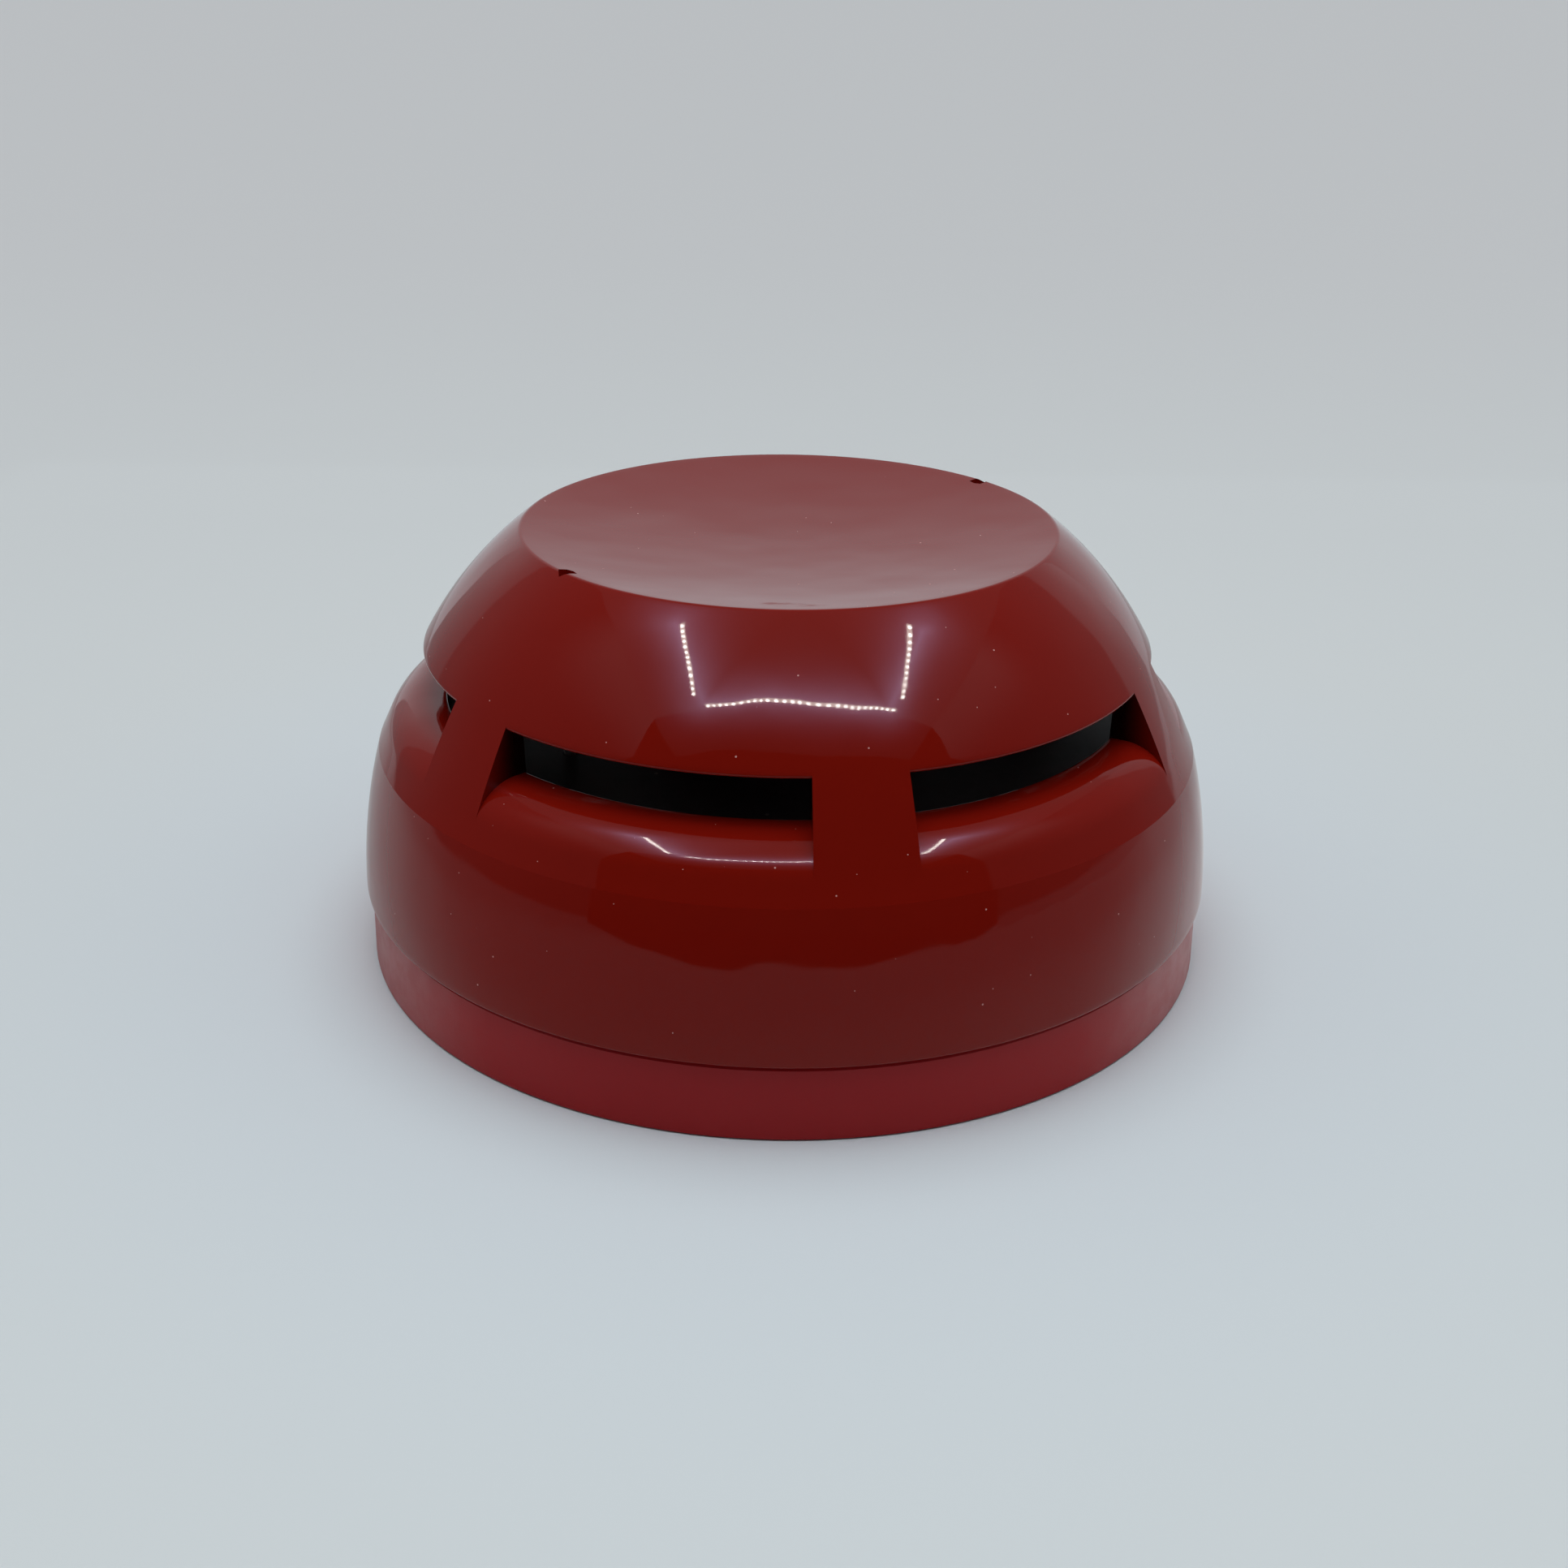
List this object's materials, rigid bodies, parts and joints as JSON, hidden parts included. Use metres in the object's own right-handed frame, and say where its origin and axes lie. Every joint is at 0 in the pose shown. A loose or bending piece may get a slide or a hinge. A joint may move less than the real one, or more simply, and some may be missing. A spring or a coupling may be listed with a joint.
{
  "type": "heat detector",
  "caption": "Round slotted heat-detector head, domed with a dished top, twisted into a surface mounting base.",
  "frame": {"origin": "centre of the flat mounting face", "axes": "+Z away from the ceiling, towards the dome; +X through one fixing slot"},
  "size_m": [0.1012, 0.1012, 0.0501],
  "materials": {
    "cover_plastic": "high gloss moulded ABS, fire-alarm red",
    "base_plastic": "satin moulded ABS, slightly cooler red",
    "black_plastic": "fine satin black moulding",
    "white_plastic": "white nylon",
    "circuit_board": "solder-mask green laminate",
    "zinc_steel": "bright zinc plate",
    "contact_brass": "bright sprung brass",
    "tinned_wire": "tinned wire",
    "bead_glass": "dipped epoxy bead",
    "led_lens": "diffused red lens",
    "clear_acrylic": "clear moulded acrylic",
    "chip_epoxy": "moulded epoxy",
    "can_aluminium": "satin can",
    "resistor_ceramic": "thick-film chip",
    "capacitor_ceramic": "ceramic chip",
    "label_paper": "blank adhesive label"
  },
  "bodies": {
    "base": {"mounting_base": "base_plastic", "base_contact_1": "contact_brass", "base_contact_2": "contact_brass", "base_contact_3": "contact_brass", "base_contact_4": "contact_brass"},
    "terminal_1": {"clamp_plate_1": "zinc_steel", "terminal_screw_1": "zinc_steel"},
    "terminal_2": {"clamp_plate_2": "zinc_steel", "terminal_screw_2": "zinc_steel"},
    "terminal_3": {"clamp_plate_3": "zinc_steel", "terminal_screw_3": "zinc_steel"},
    "terminal_4": {"clamp_plate_4": "zinc_steel", "terminal_screw_4": "zinc_steel"},
    "lock": {"locking_screw": "zinc_steel"},
    "head": {"outer_cover": "cover_plastic", "head_chassis": "black_plastic", "inner_baffle": "black_plastic", "pcb": "circuit_board", "pcb_screws": "zinc_steel", "cover_screws": "zinc_steel", "rating_label": "label_paper", "thermistor_leads": "tinned_wire", "thermistor_bead": "bead_glass", "thermistor_holder": "white_plastic", "led_1": "led_lens", "led_2": "led_lens", "light_pipe_1": "clear_acrylic", "light_pipe_2": "clear_acrylic", "controller_chip": "chip_epoxy", "interface_chip": "chip_epoxy", "bridge_rectifier": "chip_epoxy", "surge_suppressor": "chip_epoxy", "electrolytic_capacitor": "can_aluminium", "chip_resistors": "resistor_ceramic", "chip_capacitors": "capacitor_ceramic", "contact_blade_1": "contact_brass", "contact_blade_2": "contact_brass", "contact_blade_3": "contact_brass", "contact_blade_4": "contact_brass"}
  },
  "joints": [
    {"name": "head_twist", "type": "hinge", "parent": "base", "child": "head", "pos_m": [0, 0, 0], "axis": [0, 0, 1], "range_deg": [0, 24]},
    {"name": "terminal_1_lift", "type": "slide", "parent": "base", "child": "terminal_1", "axis": [0, 0, 1], "range_m": [0, 0.0013]},
    {"name": "terminal_2_lift", "type": "slide", "parent": "base", "child": "terminal_2", "axis": [0, 0, 1], "range_m": [0, 0.0013]},
    {"name": "terminal_3_lift", "type": "slide", "parent": "base", "child": "terminal_3", "axis": [0, 0, 1], "range_m": [0, 0.0013]},
    {"name": "terminal_4_lift", "type": "slide", "parent": "base", "child": "terminal_4", "axis": [0, 0, 1], "range_m": [0, 0.0013]},
    {"name": "lock_drive", "type": "slide", "parent": "base", "child": "lock", "axis": [-0.6691, -0.7431, 0], "range_m": [0, 0.0015]}
  ]
}
